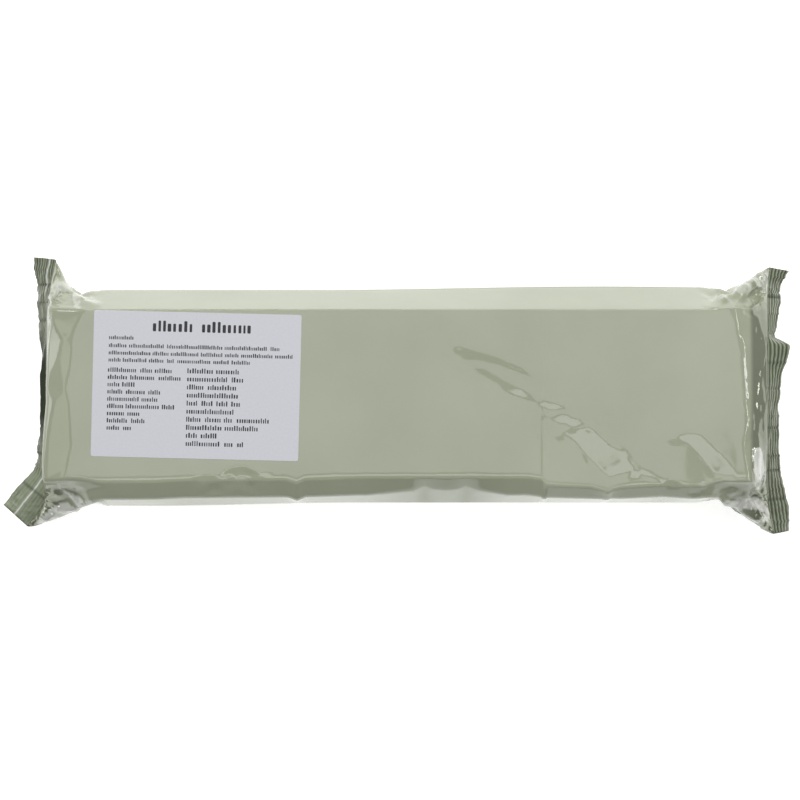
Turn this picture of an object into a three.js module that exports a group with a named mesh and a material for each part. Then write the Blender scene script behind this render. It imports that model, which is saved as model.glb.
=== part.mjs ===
// A long slab of halva shut in a flow wrap, lying on its back seam with the label up.
// Millimetres, +Z up. The origin is at the middle of the footprint, on the surface it lies on.
// The film is one tube: its two end fins are crimped flat, and its sides spread into four ears.

import * as THREE from 'three';

// Slab, as the tight film outlines it
const slabHeight = 62;
const slabMidHeight = slabHeight / 2;
const topHalfWidth = 43.5;
const leftEndX = -166;
const rightEndX = 171;
const shoulderRound = 5;
const flankRound = 9;

// The flanks stand out furthest at mid height, a little more at two soft bulges
const farFlank = { halfWidth: 54.6, bulge: 1.8, bulgeAt: 105, bulgeLength: 150 };
const nearFlank = { halfWidth: 55.6, bulge: 1.7, bulgeAt: -130, bulgeLength: 110 };

// End fins: both layers of film crimped together
const finThickness = 1.2;
const leftFinWidth = 17;
const rightFinWidth = 14.5;

// Loft resolution
const layerSteps = 26;
const bodySteps = 12;
const panelSteps = 8;
const finSteps = 4;

// How the end panels bend: where the bend's control point lies between slab end and fin root
const bendReach = 0.92;
const bendDrop = 0.13;

// Label: a paper sticker on the top face
const label = {
  length: 105,
  width: 74,
  thickness: 0.3,
  gap: 0.3,
  cornerRadius: 0.8,
  centre: [-101.8, 4.7],
  turn: -1.4,
};

// Each ruling is a line across a fin, from its root on the slab side to its cut edge.
// along: place on the flattened film, 0 at the far ear and 1 at the near ear.
// turn: heading of the line in degrees, 0 straight off the slab's end, positive towards +Y.
// lean: its slope in degrees, negative where the fin hangs down.
const leftRulings = [
  { along: 0.00, root: [-176.6, 70.0, 34], turn: 8, lean: -36 },
  { along: 0.10, root: [-179.2, 57.0, 33], turn: 2, lean: -56 },
  { along: 0.21, root: [-181.2, 43.0, 32], turn: 0, lean: -65 },
  { along: 0.36, root: [-181.6, 21.0, 31], turn: 0, lean: -72 },
  { along: 0.50, root: [-181.6, -1.0, 31], turn: 0, lean: -70 },
  { along: 0.64, root: [-181.4, -22.0, 31], turn: 0, lean: -66 },
  { along: 0.75, root: [-179.6, -36.5, 31], turn: 14, lean: -55 },
  { along: 0.82, root: [-178.2, -45.5, 30], turn: 30, lean: -36 },
  { along: 0.91, root: [-184.6, -57.6, 28], turn: 38, lean: -12 },
  { along: 1.00, root: [-192.5, -68.4, 26], turn: 42, lean: 0 },
];
const rightRulings = [
  { along: 0.00, root: [192.2, 66.0, 35], turn: -7, lean: -37 },
  { along: 0.08, root: [191.0, 57.5, 36], turn: 0, lean: -54 },
  { along: 0.16, root: [190.0, 48.0, 41], turn: 0, lean: -52 },
  { along: 0.25, root: [188.8, 36.0, 49], turn: 0, lean: -60 },
  { along: 0.30, root: [188.4, 29.6, 51.5], turn: 0, lean: -66 },
  { along: 0.328, root: [188.4, 25.4, 52], turn: 0, lean: -24 },
  { along: 0.42, root: [188.2, 11.5, 53.5], turn: 0, lean: -48 },
  { along: 0.52, root: [188.2, -4.5, 53.5], turn: 0, lean: -57 },
  { along: 0.66, root: [188.6, -25.5, 49.5], turn: 0, lean: -57 },
  { along: 0.79, root: [189.6, -43.5, 41], turn: 0, lean: -46 },
  { along: 0.90, root: [192.0, -58.5, 33], turn: 2, lean: -34 },
  { along: 1.00, root: [194.9, -72.1, 30], turn: 6, lean: -47 },
];

const filmMaterial = new THREE.MeshStandardMaterial({ color: 0xa9ad98, roughness: 0.22, metalness: 0 });
const paperMaterial = new THREE.MeshStandardMaterial({ color: 0xc9c9d0, roughness: 0.8, metalness: 0 });

// Upper half of the slab's section, from the far flank over the top to the near flank
function sectionPath(farHalfWidth, nearHalfWidth) {
  const farSlope = new THREE.Vector2(topHalfWidth - farHalfWidth, slabMidHeight).normalize();
  const nearSlope = new THREE.Vector2(nearHalfWidth - topHalfWidth, -slabMidHeight).normalize();
  const path = new THREE.Path();
  const start = new THREE.Vector2(farHalfWidth, slabMidHeight + finThickness / 2);
  path.moveTo(start.x, start.y);
  path.quadraticCurveTo(
    farHalfWidth, slabMidHeight + flankRound / 2,
    farHalfWidth + farSlope.x * flankRound, slabMidHeight + farSlope.y * flankRound,
  );
  path.lineTo(topHalfWidth - farSlope.x * shoulderRound, slabHeight - farSlope.y * shoulderRound);
  path.quadraticCurveTo(topHalfWidth, slabHeight, topHalfWidth - shoulderRound, slabHeight);
  path.lineTo(-topHalfWidth + shoulderRound, slabHeight);
  path.quadraticCurveTo(
    -topHalfWidth, slabHeight,
    -topHalfWidth - nearSlope.x * shoulderRound, slabHeight + nearSlope.y * shoulderRound,
  );
  path.lineTo(-nearHalfWidth + nearSlope.x * flankRound, slabMidHeight - nearSlope.y * flankRound);
  path.quadraticCurveTo(
    -nearHalfWidth, slabMidHeight + flankRound / 2,
    -nearHalfWidth, slabMidHeight + finThickness / 2,
  );
  return path;
}

function flankHalfWidth(flank, x) {
  const away = Math.min(Math.abs(x - flank.bulgeAt) / flank.bulgeLength, 1);
  return flank.halfWidth + flank.bulge * (1 + Math.cos(Math.PI * away)) / 2;
}

// One ring of the tube at x: the upper layer from far to near, and its mirror image below
function slabRing(x) {
  const path = sectionPath(flankHalfWidth(farFlank, x), flankHalfWidth(nearFlank, x));
  const upper = [];
  const lower = [];
  for (let i = 0; i <= layerSteps; i += 1) {
    const point = path.getPointAt(i / layerSteps);
    upper.push(new THREE.Vector3(x, point.x, point.y));
    lower.push(new THREE.Vector3(x, point.x, slabHeight - point.y));
  }
  return { upper, lower };
}

// Heading of a ruling, away from the slab; side is -1 on the left fin and 1 on the right
function rulingDirection(ruling, side) {
  const turn = THREE.MathUtils.degToRad(ruling.turn);
  const lean = THREE.MathUtils.degToRad(ruling.lean);
  return new THREE.Vector3(
    side * Math.cos(lean) * Math.cos(turn),
    Math.cos(lean) * Math.sin(turn),
    Math.sin(lean),
  );
}

// Smooth value between rulings, by place along the film
function betweenRulings(rulings, along, pick) {
  let k = 0;
  while (k < rulings.length - 2 && along > rulings[k + 1].along) {
    k += 1;
  }
  const before = rulings[Math.max(k - 1, 0)];
  const here = rulings[k];
  const next = rulings[k + 1];
  const after = rulings[Math.min(k + 2, rulings.length - 1)];
  const curve = new THREE.CatmullRomCurve3([before, here, next, after].map(pick), false, 'catmullrom', 0.35);
  const t = (along - here.along) / (next.along - here.along);
  return curve.getPoint((1 + t) / 3);
}

// Rings of one fin from its root outwards
function finRings(rulings, width, side) {
  const roots = [];
  const tips = [];
  const tipOf = (ruling) => new THREE.Vector3(...ruling.root)
    .addScaledVector(rulingDirection(ruling, side), width);
  for (let i = 0; i <= layerSteps; i += 1) {
    const along = i / layerSteps;
    roots.push(betweenRulings(rulings, along, (ruling) => new THREE.Vector3(...ruling.root)));
    tips.push(betweenRulings(rulings, along, tipOf));
  }
  const rings = [];
  for (let step = 0; step <= finSteps; step += 1) {
    const middle = roots.map((root, i) => root.clone().lerp(tips[i], step / finSteps));
    const upper = [];
    const lower = [];
    middle.forEach((point, i) => {
      const previous = middle[Math.max(i - 1, 0)];
      const following = middle[Math.min(i + 1, layerSteps)];
      const tangent = following.clone().sub(previous);
      const outward = tips[i].clone().sub(roots[i]);
      const normal = tangent.cross(outward).normalize().multiplyScalar(side * finThickness / 2);
      upper.push(point.clone().add(normal));
      lower.push(point.clone().sub(normal));
    });
    rings.push({ upper, lower });
  }
  return rings;
}

// Rings of an end panel, bending from the slab's end to the fin root; both end rings left out
function panelRings(slabEnd, finRoot) {
  const bend = (from, to, t) => {
    const control = new THREE.Vector3(
      THREE.MathUtils.lerp(from.x, to.x, bendReach),
      from.y,
      THREE.MathUtils.lerp(from.z, to.z, bendDrop),
    );
    return new THREE.QuadraticBezierCurve3(from, control, to).getPoint(t);
  };
  const rings = [];
  for (let step = 1; step < panelSteps; step += 1) {
    const t = step / panelSteps;
    rings.push({
      upper: slabEnd.upper.map((point, i) => bend(point, finRoot.upper[i], t)),
      lower: slabEnd.lower.map((point, i) => bend(point, finRoot.lower[i], t)),
    });
  }
  return rings;
}

// All rings from the left fin's cut edge to the right fin's
function tubeRings() {
  const leftFin = finRings(leftRulings, leftFinWidth, -1);
  const rightFin = finRings(rightRulings, rightFinWidth, 1);
  const body = [];
  for (let step = 0; step <= bodySteps; step += 1) {
    body.push(slabRing(THREE.MathUtils.lerp(leftEndX, rightEndX, step / bodySteps)));
  }
  return [
    ...leftFin.slice().reverse(),
    ...panelRings(body[0], leftFin[0]).reverse(),
    ...body,
    ...panelRings(body[bodySteps], rightFin[0]),
    ...rightFin,
  ];
}

// Skin over the rings, shut by a thin strip along each cut edge
function skinOverRings(rings) {
  const ringSize = 2 * (layerSteps + 1);
  const positions = [];
  rings.forEach(({ upper, lower }) => {
    [...upper, ...lower.slice().reverse()].forEach((point) => positions.push(...point.toArray()));
  });
  const indices = [];
  for (let r = 0; r < rings.length - 1; r += 1) {
    for (let i = 0; i < ringSize; i += 1) {
      const a = r * ringSize + i;
      const b = r * ringSize + (i + 1) % ringSize;
      indices.push(a, b, b + ringSize, a, b + ringSize, a + ringSize);
    }
  }
  const last = (rings.length - 1) * ringSize;
  for (let i = 0; i < layerSteps; i += 1) {
    const opposite = ringSize - 1 - i;
    indices.push(i, opposite, opposite - 1, i, opposite - 1, i + 1);
    indices.push(last + i, last + opposite - 1, last + opposite, last + i, last + i + 1, last + opposite - 1);
  }
  const geometry = new THREE.BufferGeometry();
  geometry.setAttribute('position', new THREE.Float32BufferAttribute(positions, 3));
  geometry.setIndex(indices);
  geometry.computeVertexNormals();
  return geometry;
}

function makePack() {
  const mesh = new THREE.Mesh(skinOverRings(tubeRings()), filmMaterial);
  mesh.name = 'pack';
  return mesh;
}

function makeLabel() {
  const halfLength = label.length / 2;
  const halfWidth = label.width / 2;
  const r = label.cornerRadius;
  const outline = new THREE.Shape();
  outline.absarc(halfLength - r, halfWidth - r, r, 0, Math.PI / 2);
  outline.absarc(-halfLength + r, halfWidth - r, r, Math.PI / 2, Math.PI);
  outline.absarc(-halfLength + r, -halfWidth + r, r, Math.PI, 1.5 * Math.PI);
  outline.absarc(halfLength - r, -halfWidth + r, r, 1.5 * Math.PI, 2 * Math.PI);
  const geometry = new THREE.ExtrudeGeometry(outline, {
    depth: label.thickness,
    bevelEnabled: false,
    curveSegments: 4,
  });
  const mesh = new THREE.Mesh(geometry, paperMaterial);
  mesh.name = 'label';
  mesh.position.set(...label.centre, slabHeight + label.gap);
  mesh.rotation.z = THREE.MathUtils.degToRad(label.turn);
  return mesh;
}

const group = new THREE.Group();
group.add(makePack(), makeLabel());

export default group;
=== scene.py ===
import math
import bpy
import numpy as np
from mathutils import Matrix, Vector


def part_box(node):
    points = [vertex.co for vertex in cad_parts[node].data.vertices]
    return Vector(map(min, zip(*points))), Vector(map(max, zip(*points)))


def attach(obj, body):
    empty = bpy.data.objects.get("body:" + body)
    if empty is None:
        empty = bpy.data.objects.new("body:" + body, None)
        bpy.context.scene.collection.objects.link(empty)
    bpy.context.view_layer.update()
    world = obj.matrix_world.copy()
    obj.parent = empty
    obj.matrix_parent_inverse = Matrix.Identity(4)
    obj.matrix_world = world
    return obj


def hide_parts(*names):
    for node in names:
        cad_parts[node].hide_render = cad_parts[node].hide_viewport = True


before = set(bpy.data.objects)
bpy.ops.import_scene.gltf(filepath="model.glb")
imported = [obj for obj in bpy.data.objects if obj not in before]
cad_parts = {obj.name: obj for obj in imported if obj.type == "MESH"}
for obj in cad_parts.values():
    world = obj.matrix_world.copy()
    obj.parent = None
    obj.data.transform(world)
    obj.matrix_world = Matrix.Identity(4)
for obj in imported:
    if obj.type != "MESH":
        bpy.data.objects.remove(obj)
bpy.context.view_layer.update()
packLow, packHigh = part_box("pack")
labelLow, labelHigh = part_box("label")

mm = 0.001
slabHeight = packHigh.z / mm  # the film lies on the slab's flat top
midHeight = slabHeight / 2


# small helpers

def smoothStep(low, high, value):
    t = np.clip((value - low) / (high - low), 0, 1)
    return t * t * (3 - 2 * t)


def between(value, first, fullFrom, fullTo, last):
    # one in the middle, falling smoothly to nothing at both ends
    return smoothStep(first, fullFrom, value) * (1 - smoothStep(fullTo, last, value))


def bump(value, width):
    # one at zero, falling smoothly to nothing at the width
    return 1 - smoothStep(0, width, np.abs(value))


def hermite(keys, values, at):
    # smooth curve through the rows of values
    slopes = np.gradient(values, keys, axis=0)
    k = np.clip(np.searchsorted(keys, at, side="right") - 1, 0, len(keys) - 2)
    span = keys[k + 1] - keys[k]
    t = ((at - keys[k]) / span)[:, None]
    span = span[:, None]
    t2, t3 = t * t, t * t * t
    return ((2 * t3 - 3 * t2 + 1) * values[k] + (t3 - 2 * t2 + t) * span * slopes[k]
            + (3 * t2 - 2 * t3) * values[k + 1] + (t3 - t2) * span * slopes[k + 1])


def unit(vectors):
    return vectors / np.maximum(np.linalg.norm(vectors, axis=-1, keepdims=True), 1e-9)


def mapGrid(area):
    # x and y over a height map's area, and their grids
    step = area["step"]
    axes = [np.arange(low, high + step, step) for low, high in zip(area["low"], area["high"])]
    return (*axes, *np.meshgrid(*axes, indexing="ij"))


def readMap(area, heights, x, y, inset=0):
    # height at a place, between the map's own points
    (lowX, lowY), step, (rows, cols) = area["low"], area["step"], heights.shape
    u = np.clip((np.asarray(x, float) - lowX) / step, 0, rows - 1.001)
    v = np.clip((np.asarray(y, float) - lowY) / step, inset, cols - inset - 1.001)
    i, j = u.astype(int), v.astype(int)
    u, v = u - i, v - j
    return ((heights[i, j] * (1 - u) + heights[i + 1, j] * u) * (1 - v)
            + (heights[i, j + 1] * (1 - u) + heights[i + 1, j + 1] * u) * v)


def both(values):
    # the upper layer's values, and the same again for the lower layer on the way back
    return np.concatenate([values, values[::-1]])


def linkObject(name, data):
    obj = bpy.data.objects.new(name, data)
    bpy.context.scene.collection.objects.link(obj)
    return obj


def makePiece(name, points, faces, finishes, smooth=True):
    # an object from points in mm and faces, with its materials
    mesh = bpy.data.meshes.new(name)
    mesh.from_pydata((np.asarray(points) * mm).tolist(), [], [list(face) for face in faces])
    mesh.polygons.foreach_set("use_smooth", [smooth] * len(mesh.polygons))
    mesh.update()
    for finish in finishes:
        mesh.materials.append(finish)
    return linkObject(name, mesh)


# section of the film round the slab

section = dict(
    topHalfWidth=43.3,
    farFlank=dict(half=54.6, bulge=1.8, at=105, length=150),
    nearFlank=dict(half=55.8, bulge=1.7, at=-130, length=110),
    # half width of the top face on the near side, from left to right
    nearEdge=[(-170, 44.6), (-125, 44.4), (-108, 43.6), (-56, 43.3), (-51, 45.2), (-47, 43.2),
              (-20, 42.2), (66, 42.2), (73, 43.2), (75.5, 46.2), (98, 47.2), (104, 49), (106.5, 50.2),
              (109, 48.6), (114, 47.4), (135, 46), (150, 46.8), (175, 45.4)],
    nearFall=(2.4, 0.09),  # width and drop of the soft fall just inside that edge
    # from that edge out to where the near flank turns down, from left to right, and that fall
    kneeOut=[(-170, 8.8), (-60, 8.6), (-16, 8.8), (8, 6.6), (14, 4.2), (18, 5.8), (25, 6.4), (31, 5.8),
             (34.7, 4.2), (41, 6.4), (56, 8.8), (74, 8.6), (76, 6), (98, 5.6), (106.5, 3.4), (114, 5.4),
             (175, 6.4)],
    kneeDrop=6.4, kneeInset=2.2,
    topRounds=(0.4, 0.8, 0.6, 1.5),  # of the far edge, the fall, the near edge and the knee
    backRounds=(2.4, 2.4),
    apexGap=1.0,   # between the two layers' edge columns
    floorGap=0.5,  # film above the floor, beside the back seam
)
# steps across the upper layer, where the far part of the top meets the near one, and how the steps crowd
columns = dict(flank=28, topFar=32, topNear=58, topSplit=0.46, flankCrowd=1.4, topCrowd=1.2)


def flankAt(x, half, bulge, at, length):
    # half width of a softly bulging flank
    away = np.minimum(abs(x - at) / length, 1)
    return half + bulge * (1 + math.cos(math.pi * away)) / 2


def roundedLine(corners, rounds, steps=8):
    # polyline with its corners rounded off, and the arc length of each corner's middle
    points, marks = [np.array(corners[0], float)], []
    for i in range(1, len(corners) - 1):
        here = np.array(corners[i], float)
        before = unit(np.array(corners[i - 1], float) - here) * rounds[i - 1]
        after = unit(np.array(corners[i + 1], float) - here) * rounds[i - 1]
        for k in range(steps + 1):
            t = k / steps
            points.append((1 - t) ** 2 * (here + before) + 2 * t * (1 - t) * here + t * t * (here + after))
            if k == steps // 2:
                marks.append(len(points) - 1)
    points.append(np.array(corners[-1], float))
    points = np.array(points)
    run = np.concatenate([[0], np.cumsum(np.linalg.norm(np.diff(points, axis=0), axis=1))])
    return points, run, [run[m] for m in marks]


def layerSection(x, upper):
    # one layer's columns at x, from the far flank over to the near one, and their places across it
    s, c = section, columns
    far, near = flankAt(x, **s["farFlank"]), flankAt(x, **s["nearFlank"])
    apex = midHeight + s["apexGap"] / 2
    edge = s["topHalfWidth"]
    if upper:
        nearEdge = np.interp(x, *zip(*s["nearEdge"]))
        kneeOut = np.interp(x, *zip(*s["kneeOut"]))
        knee = (-min(nearEdge + kneeOut, near - s["kneeInset"]), slabHeight - s["kneeDrop"])
        fallWidth, fallDrop = s["nearFall"]
        corners = [(far, apex), (edge, slabHeight), (-nearEdge + fallWidth, slabHeight),
                   (-nearEdge, slabHeight - fallDrop), knee, (-near, apex)]
        points, run, marks = roundedLine(corners, s["topRounds"])
        marks = [marks[0], marks[2]]
    else:
        top = slabHeight - s["floorGap"]
        corners = [(far, apex), (edge, top), (-edge, top), (-near, apex)]
        points, run, marks = roundedLine(corners, s["backRounds"])
    middle = marks[0] + (marks[1] - marks[0]) * c["topSplit"]
    flankSteps = np.linspace(0, 1, c["flank"] + 1)
    farSteps = np.linspace(0, 1, c["topFar"] + 1)[:-1] ** c["topCrowd"]
    places = np.concatenate([
        marks[0] * (1 - (1 - flankSteps[:-1]) ** c["flankCrowd"]),
        marks[0] + (middle - marks[0]) * farSteps,
        np.linspace(middle, marks[1], c["topNear"] + 1)[:-1],
        marks[1] + (run[-1] - marks[1]) * flankSteps ** c["flankCrowd"],
    ])
    y = np.interp(places, run, points[:, 0])
    z = np.interp(places, run, points[:, 1])
    if upper:
        onTop = smoothStep(0, 2.5, edge - y) * (1 - smoothStep(nearEdge, nearEdge + 8, -y))
        z = z + topRelief(x, np.maximum(y, -nearEdge)) * onTop - dentDepth(x, y)
    else:
        z = slabHeight - z
    return np.stack([np.full_like(y, x), y, z], axis=1), places / run[-1]


def ringAt(x):
    # both layers round the slab at x
    return np.concatenate([layerSection(x, True)[0], layerSection(x, False)[0][::-1]])


# shallow patches, creases and dents of the tight film on the top face, heights in mm

facetTable = np.random.default_rng(3).uniform(-1, 1, (64, 64))


def facetNoise(u, v, shift=0):
    # flat-sided noise: a height at each corner of a triangle lattice, straight between them
    u = u + 0.30 * np.sin(1.3 * v + shift) + 5.3 * shift
    v = v + 0.30 * np.sin(1.7 * u + 2.1) + 9.7 * shift
    skew = (u + v) * 0.366
    a, b = u + skew, v + skew
    i, j = np.floor(a).astype(int), np.floor(b).astype(int)
    fa, fb = a - i, b - j
    first = facetTable[i % 64, j % 64]
    last = facetTable[(i + 1) % 64, (j + 1) % 64]
    side = np.where(fa > fb, facetTable[(i + 1) % 64, j % 64], facetTable[i % 64, (j + 1) % 64])
    high, low = np.maximum(fa, fb), np.minimum(fa, fb)
    return first * (1 - high) + side * (high - low) + last * low


patches = [
    # slope in degrees towards the near side, and outline: the steeper ones catch the near light and shine,
    # and the last one falls between the lights and looks dark
    (3.2, [(71.2, -5.6), (73.5, -2.6), (79, -3.9), (85.4, -7.2), (77.5, -7.8)]),
    (3.2, [(75.6, -11.6), (78.5, -9.9), (84, -10), (89, -11.6), (96, -15.2), (90, -16.6), (82, -15)]),
    (3.2, [(82.6, -19.2), (88, -17), (98.5, -17.6), (103, -22), (108, -26.2), (115, -29), (118, -34),
           (120.6, -37.6), (107, -41.8), (102.5, -37), (96, -31.5), (93, -27), (88.6, -22.6)]),
    (3.2, [(141, -21.4), (146, -20.2), (152.6, -20.4), (160, -26.6), (165.4, -32.6), (171, -39.4),
           (165, -43.2), (158.4, -37.8), (154, -31.6), (147.7, -25.4)]),
    (3.2, [(26.5, 22), (29, 24.5), (36, 24), (45, 21.5), (54, 18.5), (63, 13.5), (75, 4.5), (61, 11),
           (50, 14.8), (41, 16.5), (33, 17), (28, 19)]),
    (2.75, [(32, 15.2), (37, 16), (47, 12), (57.5, 6.5), (67, 0.7), (72.5, -5), (62, -2.4), (53, 2.2),
            (44, 8.2), (37, 12.6)]),
]
creases = [
    # points along a crease, half width of its slopes, height
    dict(line=[(17, 32), (24, 26), (30, 22)], width=4.0, height=-0.07),
    dict(line=[(98, -13), (112, -26), (124, -40), (138, -46)], width=2.2, height=-0.05),
    dict(line=[(74.2, 44), (74.8, 12), (74.4, -12)], width=1.5, height=-0.10),
    dict(line=[(74.4, -12), (74.4, -46)], width=2.6, height=-0.16),
]
topMap = dict(
    step=0.5, low=(-172, -52), high=(172, 48),
    patchSoft=1.0,                     # width over which a patch's slope comes and goes
    lift=0.22, liftLength=26,          # share of the way back that comes before each patch, over this length
    backLength=50, afterLength=5,      # the rest of the way back after it, and where its end is levelled
    sideBlur=16,                       # how far the way back spreads sideways
    roughHeight=0.030, roughCell=5.0, roughReach=9,  # small facets round the patches
    rippleHeight=0.014, ripplePitch=7.1, rippleBend=0.7,  # faint ripples across part of the right half
    rippleX=(72, 78, 110, 128), rippleY=(-16, -6, 28, 36),
    calmHeight=0.012, calmCell=12,
)
dents = [
    # crumples and dimples at the near edge: middle, reach, depth, and size of the facets
    dict(at=(-77, -44.0), reach=(13, 8), depth=1.6, cell=4.8, shift=4),
    dict(at=(-96, -47.0), reach=(12, 6), depth=0.8, cell=4.4, shift=5),
    dict(at=(139.5, -46.0), reach=(3.6, 3.2), depth=1.3, cell=2.6, shift=1),
    dict(at=(150.5, -49.0), reach=(3.0, 3.0), depth=1.2, cell=2.4, shift=2),
    dict(at=(156.6, -46.5), reach=(3.2, 2.8), depth=1.2, cell=2.6, shift=3),
]


def dentDepth(x, y):
    depth = np.zeros(np.shape(y))
    for dent in dents:
        (ax, ay), (rx, ry) = dent["at"], dent["reach"]
        inside = np.clip(1.6 - 1.6 * np.hypot((x - ax) / rx, (y - ay) / ry), 0, 1)
        facet = facetNoise((x - ax) / dent["cell"], y / dent["cell"], dent["shift"])
        depth = depth + dent["depth"] * inside * (0.35 + 0.85 * facet)
    return depth


def distanceToLine(x, y, line):
    best = np.full(np.shape(x), 1e9)
    for (ax, ay), (bx, by) in zip(line[:-1], line[1:]):
        dx, dy = bx - ax, by - ay
        t = np.clip(((x - ax) * dx + (y - ay) * dy) / (dx * dx + dy * dy), 0, 1)
        best = np.minimum(best, np.hypot(x - ax - t * dx, y - ay - t * dy))
    return best


def insidePolygon(x, y, corners):
    inside = np.zeros(np.shape(x), bool)
    for (ax, ay), (bx, by) in zip(corners, corners[1:] + corners[:1]):
        crosses = (ay > y) != (by > y)
        at = (bx - ax) * (y - ay) / (by - ay + 1e-12) + ax
        inside ^= crosses & (x < at)
    return inside


def blur(field, reach, axes=(0, 1)):
    # running mean over this many mm, twice, along x and y
    n = max(int(round(reach / topMap["step"])), 1)
    kernel = np.convolve(np.ones(n) / n, np.ones(n) / n)
    pad = len(kernel) // 2
    for axis in axes:
        field = np.moveaxis(field, axis, -1)
        wide = np.pad(field, ((0, 0), (pad, pad)), mode="edge")
        field = sum(k * wide[:, i:i + field.shape[1]] for i, k in enumerate(kernel))
        field = np.moveaxis(field, -1, axis)
    return field


def patchHeights(tilt, outline, x, y, gridX, gridY):
    # the film rises before a patch, falls over it and comes back up after it
    t = topMap
    inside = insidePolygon(gridX, gridY, outline)
    slope = blur(inside * math.tan(math.radians(tilt)), t["patchSoft"])
    fall = np.cumsum(slope[:, ::-1], axis=1)[:, ::-1] * t["step"]
    crossed = inside.any(axis=1)
    firstY = y[inside.shape[1] - 1 - inside[:, ::-1].argmax(axis=1)]
    lastY = y[inside.argmax(axis=1)]
    first = np.interp(x, x[crossed], firstY[crossed])[:, None]
    last = np.interp(x, x[crossed], lastY[crossed])[:, None]
    rise = t["lift"] * (1 - smoothStep(0, t["liftLength"], gridY - first))
    rise += (1 - t["lift"]) * smoothStep(0, t["backLength"], last - gridY)
    wide = blur(fall[:, :1] + 0 * gridY, t["sideBlur"], axes=[0])
    after = smoothStep(0, t["afterLength"], last - gridY)
    return rise * wide - fall * (1 - after) - wide * after, inside


def makeTopMap():
    # height map of the top face
    t = topMap
    x, y, gridX, gridY = mapGrid(t)
    height = np.zeros(gridX.shape)
    patched = np.zeros(gridX.shape, bool)
    for tilt, outline in patches:
        patchHeight, inside = patchHeights(tilt, outline, x, y, gridX, gridY)
        height += patchHeight
        patched |= inside
    near = np.minimum(blur(patched.astype(float), t["roughReach"]) * 3, 1)
    height += t["roughHeight"] * facetNoise(gridX / t["roughCell"], gridY / t["roughCell"], 1) * near
    for crease in creases:
        height += crease["height"] * bump(distanceToLine(gridX, gridY, crease["line"]), crease["width"])
    ripple = np.sin(2 * math.pi * gridY / t["ripplePitch"] + t["rippleBend"] * np.sin(gridX / 8))
    height += t["rippleHeight"] * ripple * (between(gridX, *t["rippleX"]) * between(gridY, *t["rippleY"]))
    return height + t["calmHeight"] * facetNoise(gridX / t["calmCell"], gridY / t["calmCell"], 2)


topHeights = makeTopMap()


def topRelief(x, y):
    # height of the film over the slab's flat top
    return readMap(topMap, topHeights, x, y)


layerCount = 2 * columns["flank"] + columns["topFar"] + columns["topNear"] + 1
alongFin = layerSection(0, True)[1]  # each column's place across the flattened film, 0 to 1


# end fins: rulings from the root on the slab side to the cut edge

leftFin = dict(
    side=-1, width=17.0, rows=48, ribPitch=1.9, ribHeight=0.13, gapAt=(5.0, 9.4), gapWidth=1.0,
    sway=0.8, tooth=2.2, plainFrom=0.76,  # from this place on the crimp fades out
    # cross creases with painted shade: place along the film, half width, strength
    darkFolds=[(0.1, 0.009, 0.6), (0.17, 0.008, 0.5), (0.24, 0.009, 0.6), (0.71, 0.01, 0.6),
               (0.885, 0.008, 0.6)],
    # place along the film, root x y z, heading and lean in degrees
    rulings=[
        (0.00, -176.6, 70.0, 34, 8, -36),
        (0.10, -179.2, 57.0, 33, 2, -56),
        (0.21, -181.2, 43.0, 32, 0, -65),
        (0.36, -181.6, 21.0, 31, 0, -72),
        (0.50, -181.6, -1.0, 31, 0, -70),
        (0.64, -181.4, -22.0, 31, 0, -66),
        (0.75, -179.6, -36.5, 31, 14, -55),
        (0.82, -178.2, -45.5, 30, 30, -36),
        (0.91, -184.6, -57.6, 28, 38, -12),
        (1.00, -192.5, -68.4, 26, 42, 0),
    ],
    folds=[(0.045, 0.5), (0.1, -0.5), (0.17, 0.4), (0.24, -0.4), (0.42, 0.4), (0.6, -0.5), (0.71, 0.5),
           (0.865, -0.5), (0.945, 0.6)],
)
rightFin = dict(
    side=1, width=14.5, rows=42, ribPitch=2.6, ribHeight=0.19, gapAt=(0, 0), gapWidth=0,
    sway=0.5, tooth=0.7, plainFrom=1.0,
    darkFolds=[(0.138, 0.012, 0.9), (0.385, 0.008, 0.4), (0.47, 0.008, 0.4), (0.6, 0.008, 0.5),
               (0.7, 0.008, 0.4), (0.755, 0.01, 0.6), (0.865, 0.008, 0.8)],
    rulings=[
        (0.00, 192.2, 66.0, 35, -7, -37),
        (0.08, 191.0, 57.5, 36, 0, -54),
        (0.16, 190.0, 48.0, 41, 0, -52),
        (0.25, 188.8, 36.0, 49, 0, -60),
        (0.300, 188.4, 29.6, 51.5, 0, -66),
        (0.328, 188.4, 25.4, 52, 0, -24),
        (0.42, 188.2, 11.5, 53.5, 0, -48),
        (0.52, 188.2, -4.5, 53.5, 0, -57),
        (0.66, 188.6, -25.5, 49.5, 0, -57),
        (0.79, 189.6, -43.5, 41, 0, -46),
        (0.90, 192.0, -58.5, 33, 2, -34),
        (1.00, 194.9, -72.1, 30, 6, -47),
    ],
    folds=[(0.04, 0.6), (0.115, -0.7), (0.205, 0.4), (0.285, -0.4), (0.385, 0.5), (0.47, -0.4),
           (0.56, 0.4), (0.6, -0.4), (0.7, 0.5), (0.755, -0.5), (0.83, 0.5), (0.865, -0.6), (0.955, 0.6)],
)
finGap = 0.4       # between the outsides of the two crimped layers
foldReach = 0.008  # half width of a cross fold, as a share of the film's width


def gapPlace(fin):
    # distance of the plain line from the root, from the fin's far end to its near one
    return fin["gapAt"][0] + (fin["gapAt"][1] - fin["gapAt"][0]) * alongFin


def ribAt(fin, place):
    # crimp relief at this distance from the root, from -1 to 1
    rib = math.sin(2 * math.pi * place / fin["ribPitch"]) * smoothStep(0, 1.2, place)
    if fin["gapWidth"]:
        rib = rib * (1 - bump(place - gapPlace(fin), fin["gapWidth"]))
    return rib


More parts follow.
